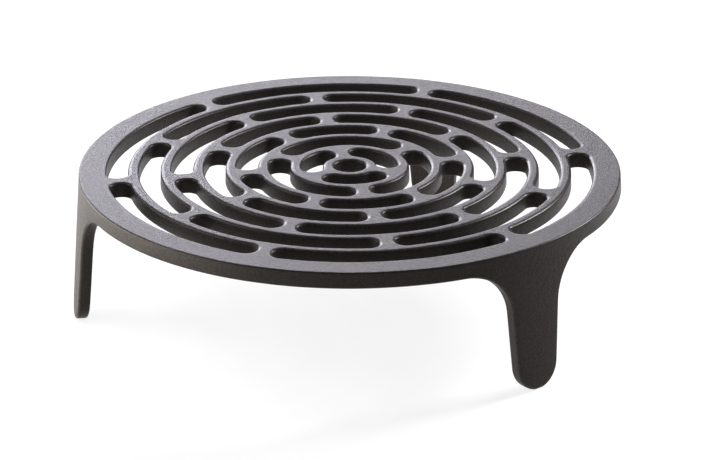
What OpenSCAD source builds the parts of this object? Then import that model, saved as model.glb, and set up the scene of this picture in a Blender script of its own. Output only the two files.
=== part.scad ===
// Round cast-iron hearth broiler: a flat grate of ring bars standing on three splayed legs.
// The casting is laid out as its members, which meet face to face: the rim, the ring bars,
// the hub ring, the short bridges that tie each ring to the next, and the legs.
// Millimetres, +Z up, with the origin at the centre of the cooking face.

/* [Grate] */
// Diameter of the cooking face
rim_d = 350; // [300:1:420]
// Width of the rim at the cooking face
rim_w = 17.9; // [14:0.1:26]
// Thickness of the rim
rim_t = 10.5; // [7:0.1:16]
// Thickness of the bars, the bridges and the hub ring
bar_t = 10; // [7:0.1:16]
// Width of a ring bar
bar_w = 7.3; // [5:0.1:10]
// Outer diameter of the hub ring
hub_d = 35.4; // [32:0.1:48]
// Diameter of the hole through the hub ring
hub_hole_d = 20.5; // [10:0.5:24]

/* [Bridges] */
// Width of a bridge at its waist
bridge_w = 10.3; // [6:0.1:16]
// Radius of the corners where a slot ends at a bridge
slot_corner_r = 6.5; // [2:0.1:8]

/* [Legs] */
// Height of the cooking face above the floor
overall_h = 93; // [75:1:140]
// Lean of the legs and of the outer wall of the rim, in degrees
splay = 4.2; // [0:0.1:8]
// Thickness of a leg
leg_t = 8; // [5:0.25:12]
// Width of a leg under the rim, between its fillets
leg_root_w = 42; // [36:0.5:54]
// Width of a leg across its rounded tip
leg_tip_w = 32; // [20:0.5:36]
// Radius of the fillets between a leg and the rim
leg_fillet_r = 32; // [12:0.5:36]
// Width of the flat on which a leg stands
foot_w = 10; // [4:0.5:14]

/* [Hidden] */
$fn = 96;

// Number of bridges in each row of slots, and the angle of the first, from the hub outwards
row_bridges = [3, 3, 6, 6, 6, 6, 6];
row_turn = [0, 60, 30, 0, 30, 0, 30];
rows = len(row_bridges);

// Angles of the legs, in the order of their names
leg_turn = [90, 210, 330];

rim_r = rim_d / 2;
rim_inner_r = rim_r - rim_w;
hub_r = hub_d / 2;

// The bars share the space between hub and rim with slots of one width
slot_w = (rim_inner_r - hub_r - (rows - 1) * bar_w) / rows;
row_pitch = slot_w + bar_w;

// Largest share of a slot's width that one corner takes, so that two never meet across it
corner_share = 0.48;
corner_r = min(slot_corner_r, corner_share * slot_w);

// Share of a corner that belongs to the bridge, which ends before its horns run out to nothing
horn_share = 0.85;

// Rounds cross the straight sides by this much, so that no face runs out to nothing
bite = 0.12;

underside_z = -rim_t;
floor_z = -overall_h;

// Round tip of a leg, cut off by the floor at the width of the foot
tip_r = leg_tip_w / 2;
tip_z = floor_z + sqrt(tip_r * tip_r - foot_w * foot_w / 4);

// Where the straight side of a leg, coming down from the rim, runs into the round tip
side_r = tip_r - bite;
side_run = [leg_root_w / 2, underside_z - tip_z];
side_angle = atan2(side_run[1], side_run[0]) - acos(side_r / norm(side_run));
side_z = tip_z + side_r * sin(side_angle);

// Centre of the fillet beside a leg
fillet_in = leg_fillet_r - bite;
fillet_z = underside_z - fillet_in;
fillet_x = (side_r + fillet_in - (fillet_z - tip_z) * sin(side_angle)) / cos(side_angle);

iron = [0.23, 0.23, 0.24];

BAR_NAMES = [for (i = [1 : rows - 1]) str("bar_ring_", i)];
BRIDGE_NAMES = [for (row = [1 : rows]) for (k = [1 : row_bridges[row - 1]]) str("bridge_", row, "_", k)];
LEG_NAMES = ["leg_rear", "leg_left", "leg_right"];

// Inner radius of a row of slots, counted from 1 at the hub
function row_inner_r(row) = hub_r + (row - 1) * row_pitch;

// Half the width of a bridge at a ring, out to the tip of the horn that follows its corner,
// whose centre lies at centre_r and which touches the ring at touch_y
function horn_y(ring_r, centre_r) =
    let (touch_y = (bridge_w / 2 + corner_r) * ring_r / centre_r)
    bridge_w / 2 + horn_share * (touch_y - bridge_w / 2);

// Half the width of a leg at a height on its straight sides
function side_x(z) = (side_r - (z - tip_z) * sin(side_angle)) / cos(side_angle);

// Radius of the leaning outer wall at a height
function wall_r(z) = rim_r - z * tan(splay);

module ring(inner_r, outer_r) {
    difference() {
        circle(r = outer_r);
        circle(r = inner_r);
    }
}

// Fills the thickness of the bars, up to the cooking face
module plate() {
    translate([0, 0, -bar_t])
        linear_extrude(bar_t)
            children();
}

// The inner lower edge is bevelled to meet the underside of the bridges
module outer_rim() {
    color(iron)
        rotate_extrude()
            polygon([
                [rim_inner_r, -bar_t],
                [rim_inner_r + abs(rim_t - bar_t), underside_z],
                [wall_r(underside_z), underside_z],
                [rim_r, 0],
                [rim_inner_r, 0]
            ]);
}

module hub_ring() {
    color(iron)
        plate()
            ring(hub_hole_d / 2, hub_r);
}

// Bar number i closes row i on the outside
module bar_ring(i) {
    bar_inner_r = row_inner_r(i) + slot_w;
    color(iron)
        plate()
            ring(bar_inner_r, bar_inner_r + bar_w);
}

// Rounded end of the slot beside a bridge that lies along +X
module slot_end(inner_r, outer_r) {
    corner_y = bridge_w / 2 + corner_r;
    near_x = sqrt(pow(inner_r + corner_r, 2) - corner_y * corner_y);
    far_x = sqrt(pow(outer_r - corner_r, 2) - corner_y * corner_y);
    translate([near_x, corner_y])
        circle(r = corner_r);
    translate([far_x, corner_y])
        circle(r = corner_r);
    translate([near_x, bridge_w / 2])
        square([far_x - near_x, corner_r]);
}

module bridge(row, k) {
    inner_r = row_inner_r(row);
    outer_r = inner_r + slot_w;
    near_y = horn_y(inner_r, inner_r + corner_r);
    far_y = horn_y(outer_r, outer_r - corner_r);
    half = [[0, near_y], [inner_r, near_y], [outer_r - corner_r, far_y], [outer_r, far_y]];
    other_half = [for (i = [len(half) - 1 : -1 : 0]) [half[i][0], -half[i][1]]];
    color(iron)
        rotate(row_turn[row - 1] + (k - 1) * 360 / row_bridges[row - 1])
            plate()
                difference() {
                    intersection() {
                        ring(inner_r, outer_r);
                        polygon(concat(half, other_half));
                    }
                    slot_end(inner_r, outer_r);
                    mirror([0, 1])
                        slot_end(inner_r, outer_r);
                }
}

// Front view of a leg without its tip: a tapered blade with a fillet at each side of its root
module leg_outline() {
    half = [
        [fillet_x, underside_z],
        [fillet_x, fillet_z],
        [side_x(fillet_z), fillet_z],
        [side_x(side_z), side_z]
    ];
    other_half = [for (i = [len(half) - 1 : -1 : 0]) [-half[i][0], half[i][1]]];
    difference() {
        polygon(concat(half, other_half));
        for (side = [-1, 1])
            translate([side * fillet_x, fillet_z])
                circle(r = leg_fillet_r);
    }
}

// A leg is the part of a leaning shell that its front view cuts out
module leg(angle) {
    cut_l = wall_r(floor_z) + leg_t;
    color(iron)
        rotate(angle)
            intersection() {
                rotate_extrude()
                    polygon([
                        [wall_r(floor_z) - leg_t, floor_z],
                        [wall_r(floor_z), floor_z],
                        [wall_r(underside_z), underside_z],
                        [wall_r(underside_z) - leg_t, underside_z]
                    ]);
                rotate([90, 0, 90])
                    union() {
                        linear_extrude(cut_l)
                            leg_outline();
                        translate([0, tip_z, 0])
                            cylinder(h = cut_l, r = tip_r);
                    }
            }
}

outer_rim();
hub_ring();
for (i = [1 : rows - 1])
    bar_ring(i);
for (row = [1 : rows])
    for (k = [1 : row_bridges[row - 1]])
        bridge(row, k);
for (i = [0 : len(leg_turn) - 1])
    leg(leg_turn[i]);
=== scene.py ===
from collections import namedtuple
from math import acos, asin, atan2, ceil, cos, hypot, pi, radians, sin, sqrt, tan, tau

import bpy
import numpy as np
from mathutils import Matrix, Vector, noise


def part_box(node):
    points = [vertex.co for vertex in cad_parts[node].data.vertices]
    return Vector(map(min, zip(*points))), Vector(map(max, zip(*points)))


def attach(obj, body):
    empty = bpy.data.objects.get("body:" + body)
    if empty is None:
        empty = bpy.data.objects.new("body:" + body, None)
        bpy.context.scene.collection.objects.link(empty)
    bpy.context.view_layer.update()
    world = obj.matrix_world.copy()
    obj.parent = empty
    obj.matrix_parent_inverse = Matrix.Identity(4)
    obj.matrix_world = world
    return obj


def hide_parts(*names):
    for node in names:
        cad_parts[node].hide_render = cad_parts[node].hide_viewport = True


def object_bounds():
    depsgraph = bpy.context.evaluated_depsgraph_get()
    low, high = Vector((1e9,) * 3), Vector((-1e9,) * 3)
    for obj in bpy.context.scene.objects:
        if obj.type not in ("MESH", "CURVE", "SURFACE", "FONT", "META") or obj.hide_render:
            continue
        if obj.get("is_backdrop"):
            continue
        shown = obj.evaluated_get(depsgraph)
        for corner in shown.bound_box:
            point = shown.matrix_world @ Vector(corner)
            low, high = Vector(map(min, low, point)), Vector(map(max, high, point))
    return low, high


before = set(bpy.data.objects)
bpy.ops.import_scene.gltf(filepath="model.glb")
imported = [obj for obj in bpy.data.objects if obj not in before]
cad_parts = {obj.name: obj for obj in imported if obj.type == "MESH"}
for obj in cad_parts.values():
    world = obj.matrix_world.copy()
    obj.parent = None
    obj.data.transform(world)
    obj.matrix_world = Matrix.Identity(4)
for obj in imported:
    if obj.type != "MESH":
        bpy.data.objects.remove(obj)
cad_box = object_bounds()

MM = 0.001

# A skin is the closed surface of one piece: its points, its quads, which of the quads lie
# buried against a neighbour, and how much each point is rubbed by use, from 0 to 1, which also
# sets how strongly the edges are lightened there as a painted highlight
Skin = namedtuple("Skin", "node points quads buried wear")

# A lamp's bearing is counted from the camera; bearing and elevation are in degrees
Lamp = namedtuple("Lamp", "bearing elevation distance width height radiance colour")

# Edges and walls of the grate
EDGE_WIDTH = 2.6 * MM
EDGE_DROP = 1.7 * MM
UNDER_ROUND = 0.7 * MM
RIM_ROUND = 1.3 * MM
DRAFT = radians(2)

# Ties between the rings
BRIDGE_W = 10.3 * MM
SLOT_CORNER = 6.5 * MM

# Rim and legs, which share one leaning outer wall
SPLAY = radians(4.2)
LEG_T = 8 * MM
LEG_ROOT_W = 42 * MM
LEG_TIP_W = 32 * MM
LEG_FILLET = 32 * MM
LEG_FLARE = 5 * MM
LEG_ROUND = 1.8 * MM
# The flat of a foot is narrower than in the solid, as if its ends were rubbed round
FOOT_W = 6.5 * MM

# Unevenness of the cast surface; without a seed Blender's noise would differ from run to run
WAVE_HEIGHT = 0.12 * MM
WAVE_LENGTH = 32 * MM
WAVE_SEED = 1

# Fineness of the meshes
RING_STEP = radians(1.5)
ROUND_STEPS = 7
WALL_STEPS = 3
TOP_STEPS = 3
UNDER_STEPS = 2
CORNER_STEPS = 9
STRAIGHT_STEPS = 2
FILLET_STEPS = 16
SIDE_STEPS = 8
TIP_STEPS = 9

# Points, angles and shares of a step that differ by less than these count as the same
SAME_POINT = 0.0037 * MM
SAME_ANGLE = 3.7e-6
SAME_STEP = 0.01
ANGLE_DIGITS = 9

# Colours of the iron: its patches, its light grains, the painted shade in its pits, the painted
# highlight on its edges and its sheen
DARK_IRON = (0.020, 0.017, 0.0145, 1)
LIGHT_IRON = (0.028, 0.024, 0.021, 1)
GRAIN_COLOUR = (0.062, 0.059, 0.057, 1)
# This colour is painted shade that darkens the pits
PAINTED_PIT_SHADE = (0.012, 0.011, 0.010, 1)
# This colour is a painted highlight that lightens the middle of the edges' rounds
PAINTED_HIGHLIGHT_COLOUR = (0.10, 0.098, 0.098, 1)
SHEEN_COLOUR = (1.0, 0.86, 0.76, 1)
SHEEN = 0.19

# How strongly light grains, the painted shade in the pits and the painted highlight on the edges
# take on their colours
GRAIN_SHARE = 0.55
PIT_SHADE_SHARE = 0.6
PAINTED_HIGHLIGHT_SHARE = 0.25

# About how many grains, patches and pit cells lie along a metre, and how finely they break up
COARSE_GRAINS = 380
FINE_GRAINS = 1100
PATCHES = 34
PIT_CELLS = 150
GRAIN_DETAIL = 3.0
PATCH_DETAIL = 4.0
DETAIL_WEIGHT = 0.6

# A cell holds a pit if its random value is above the first, as wide as the second at most
PIT_FROM = 0.7
PIT_WIDEST = 0.16

# Roughness from the smoothest to the roughest grain, and how much smoother rubbed edges are
SMOOTH, ROUGH = 0.38, 0.48
RUBBED_SMOOTHER = 0.13

# Relief of the sand and of the pits, and the share of the sand's relief left on rubbed edges
SAND_DEPTH = 0.23 * MM
PIT_DEPTH = 0.4 * MM
PIT_STRENGTH = 0.5
RUBBED_SAND = 0.25

# Floor: half its width, the light that it throws on the object, how much its shadows show,
# and its own glow, which makes it white
FLOOR_HALF = 8.0
FLOOR_BOUNCE = 0.55
FLOOR_SHADE = 0.3
FLOOR_GLOW = 0.8

# Camera, measured from the photographed ellipses of the rings
CAMERA_AZIMUTH = radians(19.94)
CAMERA_ELEVATION = radians(21.27)
CAMERA_DISTANCE = 1.7624
CAMERA_AIM = Vector((0.0051, 0.0018, -0.0455))
CAMERA_LENS = 136.71
CAMERA_SENSOR = 36
CAMERA_ROLL = radians(0.09)

# Light
ROOM_COLOUR = (0.05, 0.048, 0.045, 1)
BLUISH = (0.89, 0.885, 1.0)
COOL = (0.95, 0.96, 1.0)
WARM = (1.0, 0.96, 0.91)
LAMPS = {
    "lamp_back": Lamp(-178.5, 22.5, 3.6, 1.8, 1.6, 7.3, BLUISH),
    "lamp_back_left": Lamp(-160, 16, 3.6, 1.4, 1.2, 10.4, BLUISH),
    "lamp_left": Lamp(-92, 38, 1.4, 0.8, 0.6, 4.5, COOL),
    "lamp_right": Lamp(117, 32, 1.4, 0.4, 0.3, 58.0, COOL),
    "screen_front": Lamp(15, 18, 3.6, 3.2, 1.4, 0.5, COOL),
    "strip_left": Lamp(-89, -1.5, 0.6, 0.92, 0.15, 12.2, WARM),
}


def rounded(start, end, steps):
    """Angles of a round, with both of its ends."""
    return np.linspace(start, end, steps + 1)


def between(start, end, steps):
    """Points that part the straight line from start to end into steps, without its ends."""
    shares = np.linspace(0, 1, steps + 1)[1:-1, None]
    return np.asarray(start) * (1 - shares) + np.asarray(end) * shares


def turned_from(centre, angles):
    """Angles counted from a centre, within half a turn either way."""
    return (angles - centre + pi) % tau - pi


def top_edge(width, drop, lean):
    """Section of a top edge: part of an ellipse, from the flat top to the leaning wall.

    Its rows hold the reach out from the flat top, the height, and the wear and painted highlight.
    """
    end = atan2(drop * sin(lean), width * cos(lean))
    angles = rounded(pi / 2, end, ROUND_STEPS)
    return np.array([(width * cos(a), drop * (sin(a) - 1), sin(2 * a)) for a in angles])


def wall_reach(edge, depth, lean):
    """How far the wall below a top edge stands out from the flat top at a depth."""
    reach, height, _ = edge[-1]
    return reach + (height + depth) * tan(lean)


def slot_edge(depth):
    """Section of a slot's edge, from the flat top to the flat underside, in rows like the above.

    Given with it is how far its wall stands out from the flat top at half its depth, where it
    lies on the wall of the solid.
    """
    top = top_edge(EDGE_WIDTH, EDGE_DROP, DRAFT)
    wall_depth = depth - UNDER_ROUND * (1 + sin(DRAFT))
    centre = wall_reach(top, wall_depth, DRAFT) - UNDER_ROUND * cos(DRAFT)
    under = [
        (centre + UNDER_ROUND * cos(a), UNDER_ROUND * (1 + sin(a)) - depth, 0)
        for a in rounded(DRAFT, -pi / 2, ROUND_STEPS)
    ]
    edge = np.concatenate([top, between(top[-1], under[0], WALL_STEPS), under])
    return edge, wall_reach(top, depth / 2, DRAFT)


def leg_edge():
    """Section of a leg's edge, from the outer face to the inner one.

    Its rows hold the inset from the leg's outline, the depth from the outer face, the share of
    the leg's thickness that is added to that depth, and the wear and painted highlight.
    """
    angles = rounded(0, pi / 2, ROUND_STEPS)
    outer = [(LEG_ROUND * (1 - sin(a)), LEG_ROUND * (1 - cos(a)), 0, sin(2 * a)) for a in angles]
    inner = [(LEG_ROUND * (1 - cos(a)), LEG_ROUND * (sin(a) - 1), 1, sin(2 * a)) for a in angles]
    return np.concatenate([outer, between(outer[-1], inner[0], WALL_STEPS), inner])


def wall_r(rim_r, height):
    """Radius of the leaning outer wall at a height."""
    return rim_r - height * tan(SPLAY)


def rim_edge(rim_r, depth, rows):
    """Section of the rim's outer edge: a round, the leaning wall, and the round of the legs."""
    top = top_edge(RIM_ROUND, RIM_ROUND, SPLAY)
    top += (rim_r - wall_reach(top, 0, SPLAY), 0, 0)
    leg_round = leg_edge()[: ROUND_STEPS + 1]
    under = [
        (wall_r(rim_r, inset - depth) - leg_depth, inset - depth, 0)
        for inset, leg_depth, _, _ in leg_round
    ]
    wall = between(top[-1], under[0], rows - 2 * ROUND_STEPS - 1)
    return np.concatenate([top, wall, under])


def ring_section(outer, slot, flat_r):
    """Closed section of a ring: outer edge, underside, bevel, slot's edge and flat top.

    flat_r is the radius at which the flat top ends on the inside.
    """
    inner = slot[::-1] * (-1, 1, 1) + (flat_r, 0, 0)
    step = inner[0][1] - outer[-1][1]
    bevel = inner[0] + (step + UNDER_ROUND, -step, 0)
    under = between(outer[-1], bevel, UNDER_STEPS)
    top = between(inner[-1], outer[0], TOP_STEPS)
    return np.concatenate([outer, under, [bevel], inner, top])


def nodes_named(start):
    """Names of the frame's nodes that begin with start, in order."""
    return sorted(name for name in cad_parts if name.startswith(start))


def ring_size(node):
    """Inner and outer radius of a ring in the frame."""
    points = np.array([v.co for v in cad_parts[node].data.vertices])
    radii = np.hypot(points[:, 0], points[:, 1])
    return radii.min(), radii.max()


def heading(node):
    """Angle at which a node lies around the axis of the rings."""
    low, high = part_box(node)
    middle = (low + high) / 2
    return atan2(middle.y, middle.x)


def outward(points, quads):
    """The quads, turned to face out of the closed skin."""
    a, b, c, d = (points[quads[:, i]] for i in range(4))
    volume = np.sum(a * (np.cross(b, c) + np.cross(c, d)))
    return quads if volume > 0 else quads[:, ::-1]


def ring_angles(shared):
    """Angles of a ring's sections: those shared with its neighbours, and even steps between."""
    fixed = np.unique(np.round(np.concatenate(shared) % tau, ANGLE_DIGITS))
    angles = []
    for start, end in zip(fixed, np.append(fixed[1:], fixed[0] + tau)):
        steps = ceil((end - start) / RING_STEP - SAME_STEP)
        angles.extend(np.linspace(start, end, steps, endpoint=False))
    return np.array(angles)


def ring_skin(node, section, angles, covers):
    """Skin of a ring: its section turned about the axis.

    A cover is (angle, half its width, first and last row of the section) of a neighbour's seat.
    """
    count, rows = len(angles), len(section)
    turn, row = np.meshgrid(np.arange(count), np.arange(rows), indexing="ij")

    def at(step_on, row_on):
        return (turn + step_on) % count * rows + (row + row_on) % rows

    radius, height, wear = (np.tile(column, count) for column in section.T)
    angle = np.repeat(angles, rows)
    points = np.stack([radius * np.cos(angle), radius * np.sin(angle), height], axis=1)
    quads = np.stack([at(0, 0), at(0, 1), at(1, 1), at(1, 0)], axis=-1).reshape(-1, 4)
    middles = (angles + np.append(angles[1:], angles[0] + tau)) / 2
    buried = np.zeros((count, rows), bool)
    for centre, half, first, last in covers:
        covered = np.abs(turned_from(centre, middles)) < half
        buried[np.ix_(covered, np.arange(first, last))] = True
    return Skin(node, points, outward(points, quads), buried.ravel(), wear)


def block_skin(node, counts, place, seats):
    """Skin of a block of cells, whose corners place() sets in space and gives their wear and
    painted highlight.

    seats are the sides that lie buried, as (axis, index of that side).
    """
    numbers, corners, quads, buried = {}, [], [], []

    def number(cell):
        if cell not in numbers:
            numbers[cell] = len(corners)
            corners.append(place(*cell))
        return numbers[cell]

    for axis in range(3):
        u, v = (a for a in range(3) if a != axis)
        for end in (0, counts[axis]):
            turn = [(0, 0), (1, 0), (1, 1), (0, 1)]
            if (end == 0) != (axis == 1):
                turn.reverse()
            for i in range(counts[u]):
                for j in range(counts[v]):
                    cells = [{axis: end, u: i + du, v: j + dv} for du, dv in turn]
                    quads.append([number((c[0], c[1], c[2])) for c in cells])
                    buried.append((axis, end) in seats)
    corners = np.array(corners)
    points = corners[:, :3]
    return Skin(node, points, outward(points, np.array(quads)), np.array(buried), corners[:, 3])


def row_stations(inner_r, outer_r, reach):
    """Outline of a bridge's side from the inner to the outer ring, beside a bridge along +X.

    Each station is the x of a round's centre and the direction from there; reach is how far
    the slot's wall stands out from the flat top.
    """
    corner = SLOT_CORNER + reach
    offset = BRIDGE_W / 2 - reach + corner
    near = sqrt((inner_r + corner) ** 2 - offset ** 2)
    far = sqrt((outer_r - corner) ** 2 - offset ** 2)
    inner = [(near, a) for a in rounded(atan2(offset, near) - pi, -pi / 2, CORNER_STEPS)]
    outer = [(far, a) for a in rounded(-pi / 2, atan2(offset, far), CORNER_STEPS)]
    straight = between(inner[-1], outer[0], STRAIGHT_STEPS)
    return np.concatenate([inner, straight, outer]), corner, offset


def bridge_skin(node, stations, corner, offset, section, shares):
    """Skin of a bridge, which runs into the two rings tangentially at its four corners."""
    angle = heading(node)

    def place(station, share, row):
        centre, direction = stations[station]
        reach, height, wear = section[row]
        x = centre + (corner - reach) * cos(direction)
        y = offset + (corner - reach) * sin(direction)
        turn = angle + atan2(y, x) * shares[share]
        return hypot(x, y) * cos(turn), hypot(x, y) * sin(turn), height, wear

    counts = (len(stations) - 1, len(shares) - 1, len(section) - 1)
    return block_skin(node, counts, place, {(0, 0), (0, counts[0])})


def leg_stations(underside, floor):
    """Half of a leg's front outline, from the rim down to the foot.

    Each station is a point, across and up, and the direction out of the leg there.
    """
    tip_r = LEG_TIP_W / 2
    tip_z = floor + sqrt(tip_r ** 2 - (FOOT_W / 2) ** 2)
    root_x, root_z = LEG_ROOT_W / 2, underside - tip_z
    lean = atan2(root_z, root_x) - acos(tip_r / hypot(root_x, root_z))
    fillet_z = underside - LEG_FILLET
    fillet_x = (tip_r + LEG_FILLET - (fillet_z - tip_z) * sin(lean)) / cos(lean)
    fillet = [
        (fillet_x + LEG_FILLET * cos(a), fillet_z + LEG_FILLET * sin(a), -cos(a), -sin(a))
        for a in rounded(pi / 2, pi + lean, FILLET_STEPS)
    ]
    foot = -asin((tip_z - floor) / tip_r)
    tip = [
        (tip_r * cos(a), tip_z + tip_r * sin(a), cos(a), sin(a))
        for a in rounded(lean, foot, TIP_STEPS)
    ]
    return np.concatenate([fillet, between(fillet[-1], tip[0], SIDE_STEPS), tip])


def leg_skin(node, stations, shares, rim_r):
    """Skin of a leg: its front outline on the leaning wall, flared where it leaves the rim."""
    angle = heading(node)
    underside = stations[0][1]
    edge = leg_edge()

    def place(station, share, row):
        across, height, out_x, out_z = stations[station]
        inset, depth, part, wear = edge[row]
        gap = max(LEG_FLARE - (underside - height), 0)
        thickness = LEG_T + LEG_FLARE - sqrt(LEG_FLARE ** 2 - gap ** 2)
        x = (across - inset * out_x) * shares[share]
        z = height - inset * out_z
        ahead = sqrt((wall_r(rim_r, z) - depth - part * thickness) ** 2 - x ** 2)
        return ahead * cos(angle) - x * sin(angle), ahead * sin(angle) + x * cos(angle), z, wear

    counts = (len(stations) - 1, len(shares) - 1, len(edge) - 1)
    return block_skin(node, counts, place, {(0, 0)})


def casting_skins():
    """Skins of all pieces of the casting, which meet along shared points."""
    rings = ["hub_ring", *nodes_named("bar_ring_"), "outer_rim"]
    sizes = [ring_size(ring) for ring in rings]
    bar_depth = -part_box("hub_ring")[0].z
    rim_depth = -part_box("outer_rim")[0].z
    floor = min(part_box(n)[0].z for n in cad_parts)
    rim_r = sizes[-1][1] - rim_depth * tan(SPLAY)

    # Sections of the edges, and the rows of a ring's section that its neighbours cover
    slot, reach = slot_edge(bar_depth)
    rim = rim_edge(rim_r, rim_depth, len(slot))
    outer_rows = (0, len(slot) - 1)
    first_inner = len(slot) + UNDER_STEPS
    inner_rows = (first_inner, first_inner + len(slot) - 1)
    leg_rows = (len(rim) - 1 - ROUND_STEPS, len(rim) - 1)

    skins = []
    shared = [[] for _ in rings]
    covers = [[] for _ in rings]

    for row in range(1, len(rings)):
        inner_r, outer_r = sizes[row - 1][1] - reach, sizes[row][0] + reach
        stations, corner, offset = row_stations(inner_r, outer_r, reach)
        half_in, half_out = atan2(offset, stations[0][0]), atan2(offset, stations[-1][0])
        steps = 2 * ceil(half_in / RING_STEP)
        shares = np.linspace(-1, 1, steps + 1)
        for node in nodes_named(f"bridge_{row}_"):
            skins.append(bridge_skin(node, stations, corner, offset, slot, shares))
            shared[row - 1].append(heading(node) + half_in * shares)
            shared[row].append(heading(node) + half_out * shares)
            covers[row - 1].append((heading(node), half_in, *outer_rows))
            covers[row].append((heading(node), half_out, *inner_rows))

    legs = nodes_named("leg_")
    stations = leg_stations(-rim_depth, floor)
    half = asin(stations[0][0] / wall_r(rim_r, stations[0][1] + LEG_ROUND))
    for node in legs:
        shared[-1].append(heading(node) + half * np.array([-1, 1]))
        covers[-1].append((heading(node), half, *leg_rows))

    for i, ring in enumerate(rings):
        inner_r, outer_r = sizes[i]
        outer = rim if ring == "outer_rim" else slot + (outer_r - reach, 0, 0)
        angles = ring_angles(shared[i])
        skins.append(ring_skin(ring, ring_section(outer, slot, inner_r + reach), angles, covers[i]))

    # The legs share the angles of the rim's sections
    rim_angles = ring_angles(shared[-1])
    for node in legs:
        away = turned_from(heading(node), rim_angles)
        across = np.sort(away[np.abs(away) < half + SAME_ANGLE])
        skins.append(leg_skin(node, stations, np.sin(across) / sin(half), rim_r))
    return skins


def uneven(points):
    """The points, moved by the slow waves of a sand mould."""
    moves = [noise.noise_vector(Vector(p) / WAVE_LENGTH) for p in points]
    return points + WAVE_HEIGHT * np.array(moves)


def casting_normals(skins):
    """Corner normals of each skin, smooth across the places where pieces meet."""
    points = np.concatenate([skin.points for skin in skins])
    _, group = np.unique(np.round(points / SAME_POINT), axis=0, return_inverse=True)
    group = group.ravel()
    sums = np.zeros((group.max() + 1, 3))
    first, faces = 0, []
    for skin in skins:
        a, b, c, d = (skin.points[skin.quads[:, i]] for i in range(4))
        area = np.cross(c - a, d - b)
        seen = ~skin.buried
        for corner in skin.quads[seen].T:
            np.add.at(sums, group[first + corner], area[seen])
        faces.append((first, area))
        first += len(skin.points)
    normals = []
    for skin, (first, area) in zip(skins, faces):
        corners = sums[group[first + skin.quads]]
        corners[skin.buried] = area[skin.buried][:, None]
        corners /= np.linalg.norm(corners, axis=-1, keepdims=True)
        normals.append(corners.reshape(-1, 3))
    return normals


def cast_piece(skin, normals, material):
    """Makes the piece of the casting that stands for a node of the frame."""
    mesh = bpy.data.meshes.new(f"cast_{skin.node}")
    mesh.from_pydata(skin.points.tolist(), [], skin.quads.tolist())
    mesh.shade_smooth()
    mesh.normals_split_custom_set(normals.tolist())
    # The wear also sets the painted highlight on the edges
    mesh.attributes.new("wear", "FLOAT", "POINT").data.foreach_set("value", skin.wear)
    mesh.materials.append(material)
    piece = bpy.data.objects.new(mesh.name, mesh)
    bpy.context.scene.collection.objects.link(piece)
    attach(piece, "root")
    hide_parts(skin.node)


def add(tree, kind, inputs=(), **settings):
    """Adds a shader node, sets its properties, and links or fills its inputs."""
    made = tree.nodes.new("ShaderNode" + kind)
    for name, value in settings.items():
        setattr(made, name, value)
    for key, value in dict(inputs).items():
        if isinstance(value, bpy.types.NodeSocket):
            tree.links.new(value, made.inputs[key])
        else:
            made.inputs[key].default_value = value
    return made


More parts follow.
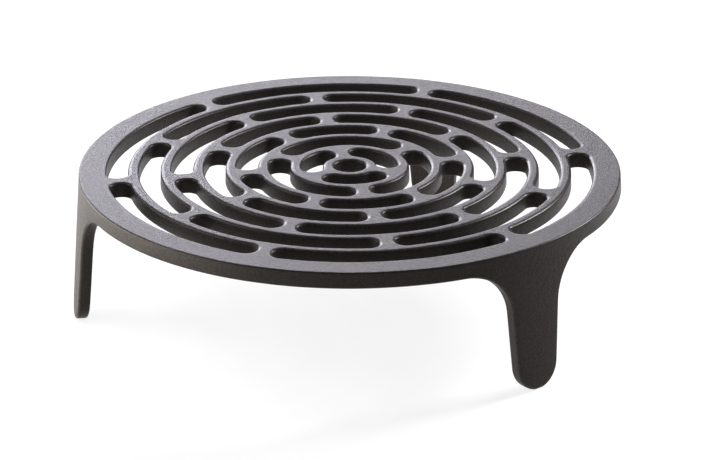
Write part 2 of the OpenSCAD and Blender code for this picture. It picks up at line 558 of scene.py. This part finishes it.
def cast_iron():
    """Seasoned sand-cast iron: dark, matt and grainy, with painted shade in its pits; its rubbed
    edges are smoother and, as a painted highlight, a little brighter.
    """
    material = bpy.data.materials.new("cast_iron")
    material.use_nodes = True
    tree = material.node_tree
    shader = tree.nodes["Principled BSDF"]
    place = add(tree, "TexCoord").outputs["Object"]

    def grain(scale, detail=GRAIN_DETAIL):
        inputs = {"Vector": place, "Scale": scale, "Detail": detail, "Roughness": DETAIL_WEIGHT}
        return add(tree, "TexNoise", inputs).outputs["Fac"]

    def ranged(value, low, high, to_low, to_high):
        inputs = {"Value": value, 1: low, 2: high, 3: to_low, 4: to_high}
        return add(tree, "MapRange", inputs).outputs["Result"]

    def mixed(factor, a, b):
        return add(tree, "Mix", {0: factor, 6: a, 7: b}, data_type="RGBA").outputs[2]

    def counted(operation, *values):
        return add(tree, "Math", dict(enumerate(values)), operation=operation).outputs[0]

    coarse = grain(COARSE_GRAINS)
    fine = grain(FINE_GRAINS)
    patches = grain(PATCHES, PATCH_DETAIL)
    wear = add(tree, "Attribute", attribute_name="wear").outputs["Fac"]
    # Painted highlight: the edges are lightened where the wear is high, patchy with the coarse
    # grain
    painted_highlight_mask = counted("MULTIPLY", wear, ranged(coarse, 0.35, 0.65, 0.2, 1.0))

    # Some of the cells hold a pit, of a size that follows the cell's random colour
    cells = add(tree, "TexVoronoi", {"Vector": place, "Scale": PIT_CELLS}).outputs
    cell_kind = add(tree, "SeparateColor", {0: cells["Color"]}).outputs[0]
    pit_size = ranged(cell_kind, PIT_FROM, 1.0, 0.0, PIT_WIDEST)
    sound = ranged(counted("LESS_THAN", cells["Distance"], pit_size), 0.0, 1.0, 1.0, 0.0)

    base = mixed(ranged(patches, 0.3, 0.7, 0.0, 1.0), DARK_IRON, LIGHT_IRON)
    speckled = mixed(ranged(fine, 0.42, 0.7, 0.0, GRAIN_SHARE), base, GRAIN_COLOUR)
    # Painted shade: the pits are darkened as well as sunk by the bump
    pit_shaded = mixed(ranged(sound, 0.0, 1.0, PIT_SHADE_SHARE, 0.0), speckled, PAINTED_PIT_SHADE)
    # Edges lightened as a painted highlight
    edge_highlighted = mixed(ranged(painted_highlight_mask, 0.0, 1.0, 0.0, PAINTED_HIGHLIGHT_SHARE), pit_shaded, PAINTED_HIGHLIGHT_COLOUR)
    tree.links.new(edge_highlighted, shader.inputs["Base Color"])

    rough = ranged(coarse, 0.3, 0.7, SMOOTH, ROUGH)
    rough = counted("MULTIPLY_ADD", wear, -RUBBED_SMOOTHER, rough)
    tree.links.new(rough, shader.inputs["Roughness"])
    shader.inputs["Specular IOR Level"].default_value = SHEEN
    shader.inputs["Specular Tint"].default_value = SHEEN_COLOUR

    height = counted("ADD", coarse, fine)
    relief = ranged(wear, 0.0, 1.0, 1.0, RUBBED_SAND)
    sand = add(tree, "Bump", {"Strength": relief, "Distance": SAND_DEPTH, "Height": height})
    pits = add(tree, "Bump", {"Strength": PIT_STRENGTH, "Distance": PIT_DEPTH, "Height": sound})
    tree.links.new(sand.outputs[0], pits.inputs["Normal"])
    tree.links.new(pits.outputs[0], shader.inputs["Normal"])
    return material


def floor_white():
    """White for the eye and in reflections, where shadows still show, and greyer for its bounce."""
    material = bpy.data.materials.new("floor_white")
    material.use_nodes = True
    tree = material.node_tree
    tree.nodes.remove(tree.nodes["Principled BSDF"])

    def matt(grey):
        return add(tree, "BsdfDiffuse", {"Color": (grey, grey, grey, 1)}).outputs[0]

    def larger(a, b):
        return add(tree, "Math", {0: a, 1: b}, operation="MAXIMUM").outputs[0]

    glow = add(tree, "Emission", {"Color": (1, 1, 1, 1), "Strength": FLOOR_GLOW}).outputs[0]
    white = add(tree, "AddShader", {0: matt(FLOOR_SHADE), 1: glow}).outputs[0]
    path = add(tree, "LightPath").outputs
    seen = larger(path["Is Camera Ray"], path["Is Glossy Ray"])
    seen = larger(seen, path["Is Transmission Ray"])
    shown = add(tree, "MixShader", {0: seen, 1: matt(FLOOR_BOUNCE), 2: white}).outputs[0]
    tree.links.new(shown, tree.nodes["Material Output"].inputs["Surface"])
    return material


def pale_floor(height):
    """Plain floor that keeps the object's shadow."""
    mesh = bpy.data.meshes.new("floor")
    signs = [(-1, -1), (1, -1), (1, 1), (-1, 1)]
    corners = [(x * FLOOR_HALF, y * FLOOR_HALF, height) for x, y in signs]
    mesh.from_pydata(corners, [], [(0, 1, 2, 3)])
    mesh.materials.append(floor_white())
    floor = bpy.data.objects.new("floor", mesh)
    bpy.context.scene.collection.objects.link(floor)
    floor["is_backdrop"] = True


def around(azimuth, elevation, distance):
    """Point seen from the cooking face at a bearing; azimuth 0 lies towards -Y, 90 towards +X."""
    level = distance * cos(elevation)
    return Vector((level * sin(azimuth), -level * cos(azimuth), distance * sin(elevation)))


def aimed(thing, target):
    """Turns a lamp or a camera towards a target."""
    thing.rotation_euler = (target - thing.location).to_track_quat("-Z", "Y").to_euler()


def softbox(name, lamp):
    """Soft light that faces the middle of the cooking face; radiance 1 looks white."""
    light = bpy.data.lights.new(name, "AREA")
    light.shape = "RECTANGLE"
    light.size, light.size_y = lamp.width, lamp.height
    light.energy = lamp.radiance * pi * lamp.width * lamp.height
    light.color = lamp.colour
    box = bpy.data.objects.new(name, light)
    azimuth = CAMERA_AZIMUTH + radians(lamp.bearing)
    box.location = around(azimuth, radians(lamp.elevation), lamp.distance)
    box.visible_camera = False
    aimed(box, Vector((0, 0, 0)))
    bpy.context.scene.collection.objects.link(box)


def studio():
    """Bright screens behind, a dim one in front, a lamp at each side, a low strip, a dim room."""
    world = bpy.data.worlds.new("room")
    world.use_nodes = True
    world.node_tree.nodes["Background"].inputs["Color"].default_value = ROOM_COLOUR
    bpy.context.scene.world = world
    for name, lamp in LAMPS.items():
        softbox(name, lamp)


def camera():
    """Camera of the photo."""
    lens = bpy.data.cameras.new("camera")
    lens.lens = CAMERA_LENS
    lens.sensor_width = CAMERA_SENSOR
    eye = bpy.data.objects.new("camera", lens)
    eye.location = around(CAMERA_AZIMUTH, CAMERA_ELEVATION, CAMERA_DISTANCE)
    aimed(eye, CAMERA_AIM)
    eye.rotation_euler.rotate_axis("Z", CAMERA_ROLL)
    bpy.context.scene.collection.objects.link(eye)
    bpy.context.scene.camera = eye


camera()
studio()
pale_floor(cad_box[0].z)
bpy.context.scene.view_settings.view_transform = "Standard"

iron = cast_iron()
noise.seed_set(WAVE_SEED)
skins = [skin._replace(points=uneven(skin.points)) for skin in casting_skins()]
for skin, normals in zip(skins, casting_normals(skins)):
    cast_piece(skin, normals, iron)

boxes = {"cad": cad_box, "visual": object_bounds()}
{name: [list(corner) for corner in box] for name, box in boxes.items()}
